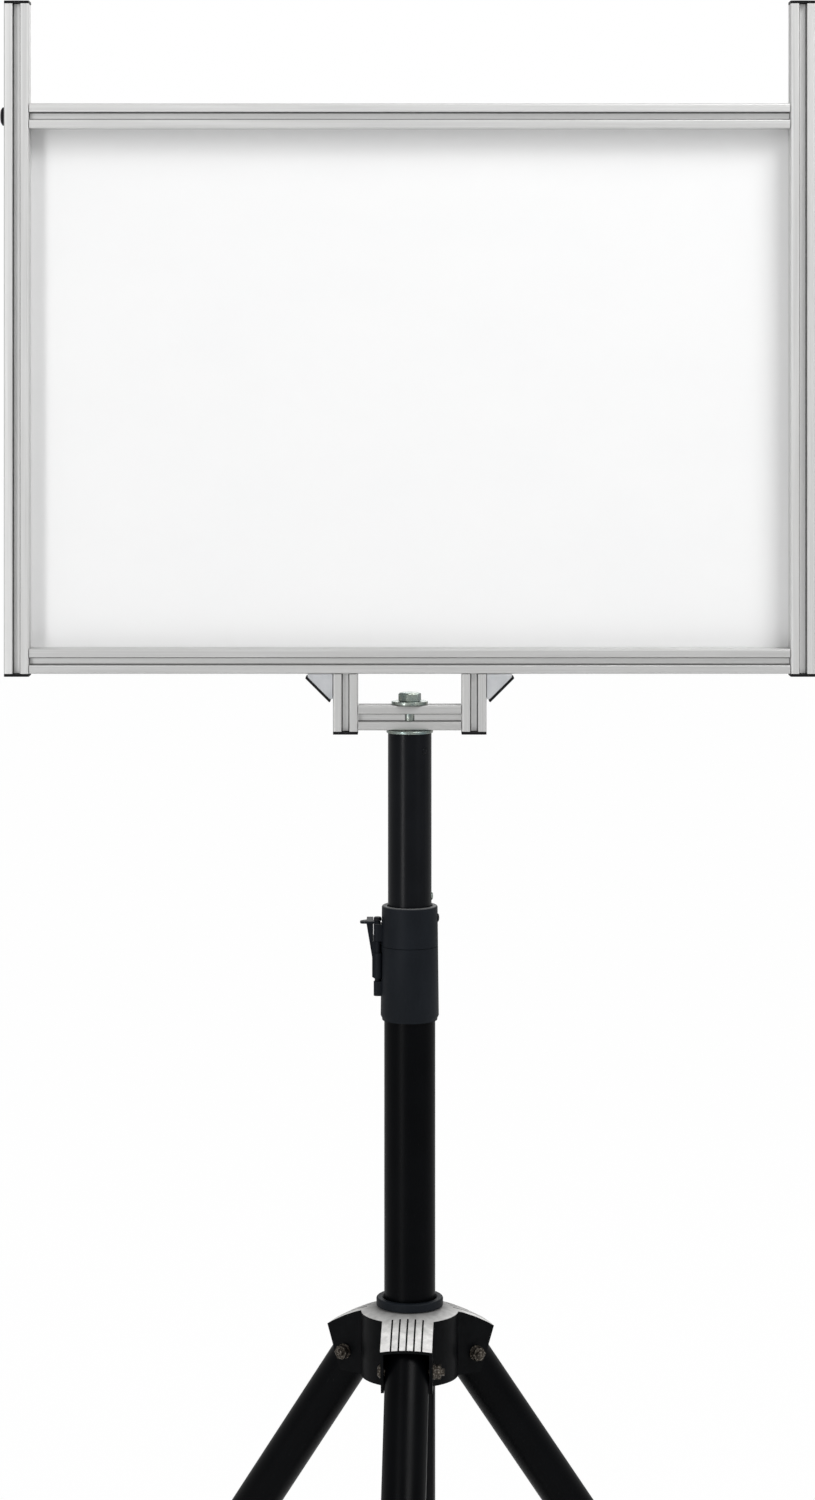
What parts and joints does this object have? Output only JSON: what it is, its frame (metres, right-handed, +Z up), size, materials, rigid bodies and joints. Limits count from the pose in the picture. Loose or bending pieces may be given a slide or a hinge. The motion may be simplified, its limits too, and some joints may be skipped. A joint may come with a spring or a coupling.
{
  "type": "rolling whiteboard",
  "caption": "Slim aluminium-profile frame with a white panel, on a telescopic clamped mast and a folding tripod with braked casters.",
  "frame": {"origin": "on the floor, at the middle of the whole stand's outline seen from above", "axes": "+Z up; -Y is the front, where the writing side faces and one leg points; +X is to the right when seen from the front"},
  "size_m": [0.8002, 0.7112, 1.6807],
  "materials": {
    "outer_tube": "black powder coat, satin",
    "tube_end_plug": "moulded black plastic",
    "hub": "black paint on a casting, satin",
    "hub_bush": "moulded black plastic",
    "leg_bolt_front": "zinc-plated, slightly yellow",
    "leg_bolt_left": "zinc-plated, slightly yellow",
    "leg_bolt_right": "zinc-plated, slightly yellow",
    "clamp_cap": "moulded black plastic",
    "clamp_sleeve": "moulded black plastic",
    "lever_pin": "black powder coat, satin",
    "guide_bush": "moulded black plastic",
    "mast_tube": "black powder coat, satin",
    "mast_plug": "die-cast, fine matte",
    "mast_flange": "zinc-plated, slightly yellow",
    "head_bolt": "zinc-plated, slightly yellow",
    "head_washer": "zinc-plated, slightly yellow",
    "bridge_bar": "clear anodised extrusion, satin",
    "bridge_post_left": "clear anodised extrusion, satin",
    "bridge_post_right": "clear anodised extrusion, satin",
    "gusset_left": "die-cast, fine matte",
    "gusset_right": "die-cast, fine matte",
    "gusset_cover_left": "moulded black plastic",
    "gusset_cover_right": "moulded black plastic",
    "cap_post_left": "moulded black plastic",
    "cap_post_right": "moulded black plastic",
    "cap_left_top": "moulded black plastic",
    "cap_left_bottom": "moulded black plastic",
    "cap_right_top": "moulded black plastic",
    "cap_right_bottom": "moulded black plastic",
    "upright_left": "clear anodised extrusion, satin",
    "upright_right": "clear anodised extrusion, satin",
    "top_rail": "clear anodised extrusion, satin",
    "bottom_rail": "clear anodised extrusion, satin",
    "rail_screw_left": "black powder coat, satin",
    "rail_screw_right": "black powder coat, satin",
    "whiteboard_panel": "white dry-erase surface",
    "lock_button": "zinc-plated, slightly yellow",
    "clamp_lever": "moulded black plastic",
    "brake_shoe": "black rubber",
    "brace_slider": "moulded black plastic",
    "leg_tube_front": "black powder coat, satin",
    "foot_front": "moulded black plastic",
    "brace_front": "black powder coat, satin",
    "caster_fork_front": "moulded black plastic",
    "caster_wheel_front": "black rubber",
    "caster_brake_front": "moulded black plastic",
    "leg_tube_left": "black powder coat, satin",
    "foot_left": "moulded black plastic",
    "brace_left": "black powder coat, satin",
    "caster_fork_left": "moulded black plastic",
    "caster_wheel_left": "black rubber",
    "caster_brake_left": "moulded black plastic",
    "leg_tube_right": "black powder coat, satin",
    "foot_right": "moulded black plastic",
    "brace_right": "black powder coat, satin",
    "caster_fork_right": "moulded black plastic",
    "caster_wheel_right": "black rubber",
    "caster_brake_right": "moulded black plastic"
  },
  "bodies": {
    "stand": {"outer_tube": "outer_tube", "tube_end_plug": "tube_end_plug", "hub": "hub", "hub_bush": "hub_bush", "leg_bolt_front": "leg_bolt_front", "leg_bolt_left": "leg_bolt_left", "leg_bolt_right": "leg_bolt_right", "clamp_cap": "clamp_cap", "clamp_sleeve": "clamp_sleeve", "lever_pin": "lever_pin"},
    "mast_guide": {"guide_bush": "guide_bush"},
    "mast": {"mast_tube": "mast_tube", "mast_plug": "mast_plug", "mast_flange": "mast_flange", "head_bolt": "head_bolt", "head_washer": "head_washer", "bridge_bar": "bridge_bar", "bridge_post_left": "bridge_post_left", "bridge_post_right": "bridge_post_right", "gusset_left": "gusset_left", "gusset_right": "gusset_right", "gusset_cover_left": "gusset_cover_left", "gusset_cover_right": "gusset_cover_right", "cap_post_left": "cap_post_left", "cap_post_right": "cap_post_right", "cap_left_top": "cap_left_top", "cap_left_bottom": "cap_left_bottom", "cap_right_top": "cap_right_top", "cap_right_bottom": "cap_right_bottom", "upright_left": "upright_left", "upright_right": "upright_right", "top_rail": "top_rail", "bottom_rail": "bottom_rail", "rail_screw_left": "rail_screw_left", "rail_screw_right": "rail_screw_right", "whiteboard_panel": "whiteboard_panel"},
    "lock_button": {"lock_button": "lock_button"},
    "clamp_lever": {"clamp_lever": "clamp_lever"},
    "brake_shoe": {"brake_shoe": "brake_shoe"},
    "brace_slider": {"brace_slider": "brace_slider"},
    "leg_front": {"leg_tube_front": "leg_tube_front", "foot_front": "foot_front"},
    "brace_front": {"brace_front": "brace_front"},
    "caster_front": {"caster_fork_front": "caster_fork_front"},
    "wheel_front": {"caster_wheel_front": "caster_wheel_front"},
    "brake_front": {"caster_brake_front": "caster_brake_front"},
    "leg_left": {"leg_tube_left": "leg_tube_left", "foot_left": "foot_left"},
    "brace_left": {"brace_left": "brace_left"},
    "caster_left": {"caster_fork_left": "caster_fork_left"},
    "wheel_left": {"caster_wheel_left": "caster_wheel_left"},
    "brake_left": {"caster_brake_left": "caster_brake_left"},
    "leg_right": {"leg_tube_right": "leg_tube_right", "foot_right": "foot_right"},
    "brace_right": {"brace_right": "brace_right"},
    "caster_right": {"caster_fork_right": "caster_fork_right"},
    "wheel_right": {"caster_wheel_right": "caster_wheel_right"},
    "brake_right": {"caster_brake_right": "caster_brake_right"}
  },
  "joints": [
    {"name": "mast_height", "type": "slide", "parent": "stand", "child": "mast_guide", "axis": [0, 0, 1], "range_m": [-0.004, 0.577]},
    {"name": "mast_swivel", "type": "hinge", "parent": "mast_guide", "child": "mast", "pos_m": [-0.01016, 0.10302, 1.09347], "axis": [0, 0, 1], "continuous": true},
    {"name": "lock_button_press", "type": "slide", "parent": "mast", "child": "lock_button", "axis": [-1, 0, 0], "range_m": [0, 0.0016], "stiffness_N_per_m": 600, "springref_m": -0.002},
    {"name": "clamp_lever_turn", "type": "hinge", "parent": "stand", "child": "clamp_lever", "pos_m": [-0.03596, 0.10302, 0.92257], "axis": [0, 0, 1], "range_deg": [0, 100]},
    {"name": "brake_shoe_release", "type": "slide", "parent": "stand", "child": "brake_shoe", "axis": [-1, 0, 0], "range_m": [0, 0.0005]},
    {"name": "brace_slider_slide", "type": "slide", "parent": "stand", "child": "brace_slider", "axis": [0, 0, -1], "range_m": [0, 0.0767]},
    {"name": "leg_front_fold", "type": "hinge", "parent": "stand", "child": "leg_front", "pos_m": [-0.01238, 0.05397, 0.59447], "axis": [0.999, -0.0454, 0], "range_deg": [0, 28]},
    {"name": "brace_front_turn", "type": "hinge", "parent": "leg_front", "child": "brace_front", "pos_m": [-0.01759, -0.06063, 0.43064], "axis": [0.999, -0.0454, 0], "range_deg": [-56, 0]},
    {"name": "caster_front_swivel", "type": "hinge", "parent": "leg_front", "child": "caster_front", "pos_m": [-0.02851, -0.30128, 0.0866], "axis": [0, 0, 1], "continuous": true},
    {"name": "wheel_front_roll", "type": "hinge", "parent": "caster_front", "child": "wheel_front", "pos_m": [-0.02933, -0.31926, 0.025], "axis": [0.999, -0.0454, 0], "continuous": true},
    {"name": "brake_front_press", "type": "hinge", "parent": "caster_front", "child": "brake_front", "pos_m": [-0.03006, -0.33525, 0.05], "axis": [0.999, -0.0454, 0], "range_deg": [0, 25]},
    {"name": "leg_left_fold", "type": "hinge", "parent": "stand", "child": "leg_left", "pos_m": [-0.05152, 0.12947, 0.59447], "axis": [-0.5388, -0.8425, 0], "range_deg": [0, 28]},
    {"name": "brace_left_turn", "type": "hinge", "parent": "leg_left", "child": "brace_left", "pos_m": [-0.14816, 0.19128, 0.43064], "axis": [-0.5388, -0.8425, 0], "range_deg": [-56, 0]},
    {"name": "caster_left_swivel", "type": "hinge", "parent": "leg_left", "child": "caster_left", "pos_m": [-0.35111, 0.32107, 0.0866], "axis": [0, 0, 1], "continuous": true},
    {"name": "wheel_left_roll", "type": "hinge", "parent": "caster_left", "child": "wheel_left", "pos_m": [-0.36627, 0.33077, 0.025], "axis": [-0.5388, -0.8425, 0], "continuous": true},
    {"name": "brake_left_press", "type": "hinge", "parent": "caster_left", "child": "brake_left", "pos_m": [-0.37975, 0.33939, 0.05], "axis": [-0.5388, -0.8425, 0], "range_deg": [0, 25]},
    {"name": "leg_right_fold", "type": "hinge", "parent": "stand", "child": "leg_right", "pos_m": [0.03344, 0.12562, 0.59447], "axis": [-0.4602, 0.8878, 0], "range_deg": [0, 28]},
    {"name": "brace_right_turn", "type": "hinge", "parent": "leg_right", "child": "brace_right", "pos_m": [0.13528, 0.17841, 0.43064], "axis": [-0.4602, 0.8878, 0], "range_deg": [-56, 0]},
    {"name": "caster_right_swivel", "type": "hinge", "parent": "leg_right", "child": "caster_right", "pos_m": [0.34916, 0.28927, 0.0866], "axis": [0, 0, 1], "continuous": true},
    {"name": "wheel_right_roll", "type": "hinge", "parent": "caster_right", "child": "wheel_right", "pos_m": [0.36514, 0.29755, 0.025], "axis": [-0.4602, 0.8878, 0], "continuous": true},
    {"name": "brake_right_press", "type": "hinge", "parent": "caster_right", "child": "brake_right", "pos_m": [0.37934, 0.30492, 0.05], "axis": [-0.4602, 0.8878, 0], "range_deg": [0, 25]}
  ],
  "couplings": [
    {"joint": "brake_shoe_release", "follows": "clamp_lever_turn", "m_per_rad": 0.00026},
    {"joint": "brace_slider_slide", "follows": "leg_front_fold", "m_per_rad": 0.157},
    {"joint": "brace_front_turn", "follows": "leg_front_fold", "ratio": -2},
    {"joint": "brace_left_turn", "follows": "leg_front_fold", "ratio": -2},
    {"joint": "leg_left_fold", "follows": "leg_front_fold", "ratio": 1},
    {"joint": "brace_right_turn", "follows": "leg_front_fold", "ratio": -2},
    {"joint": "leg_right_fold", "follows": "leg_front_fold", "ratio": 1}
  ]
}
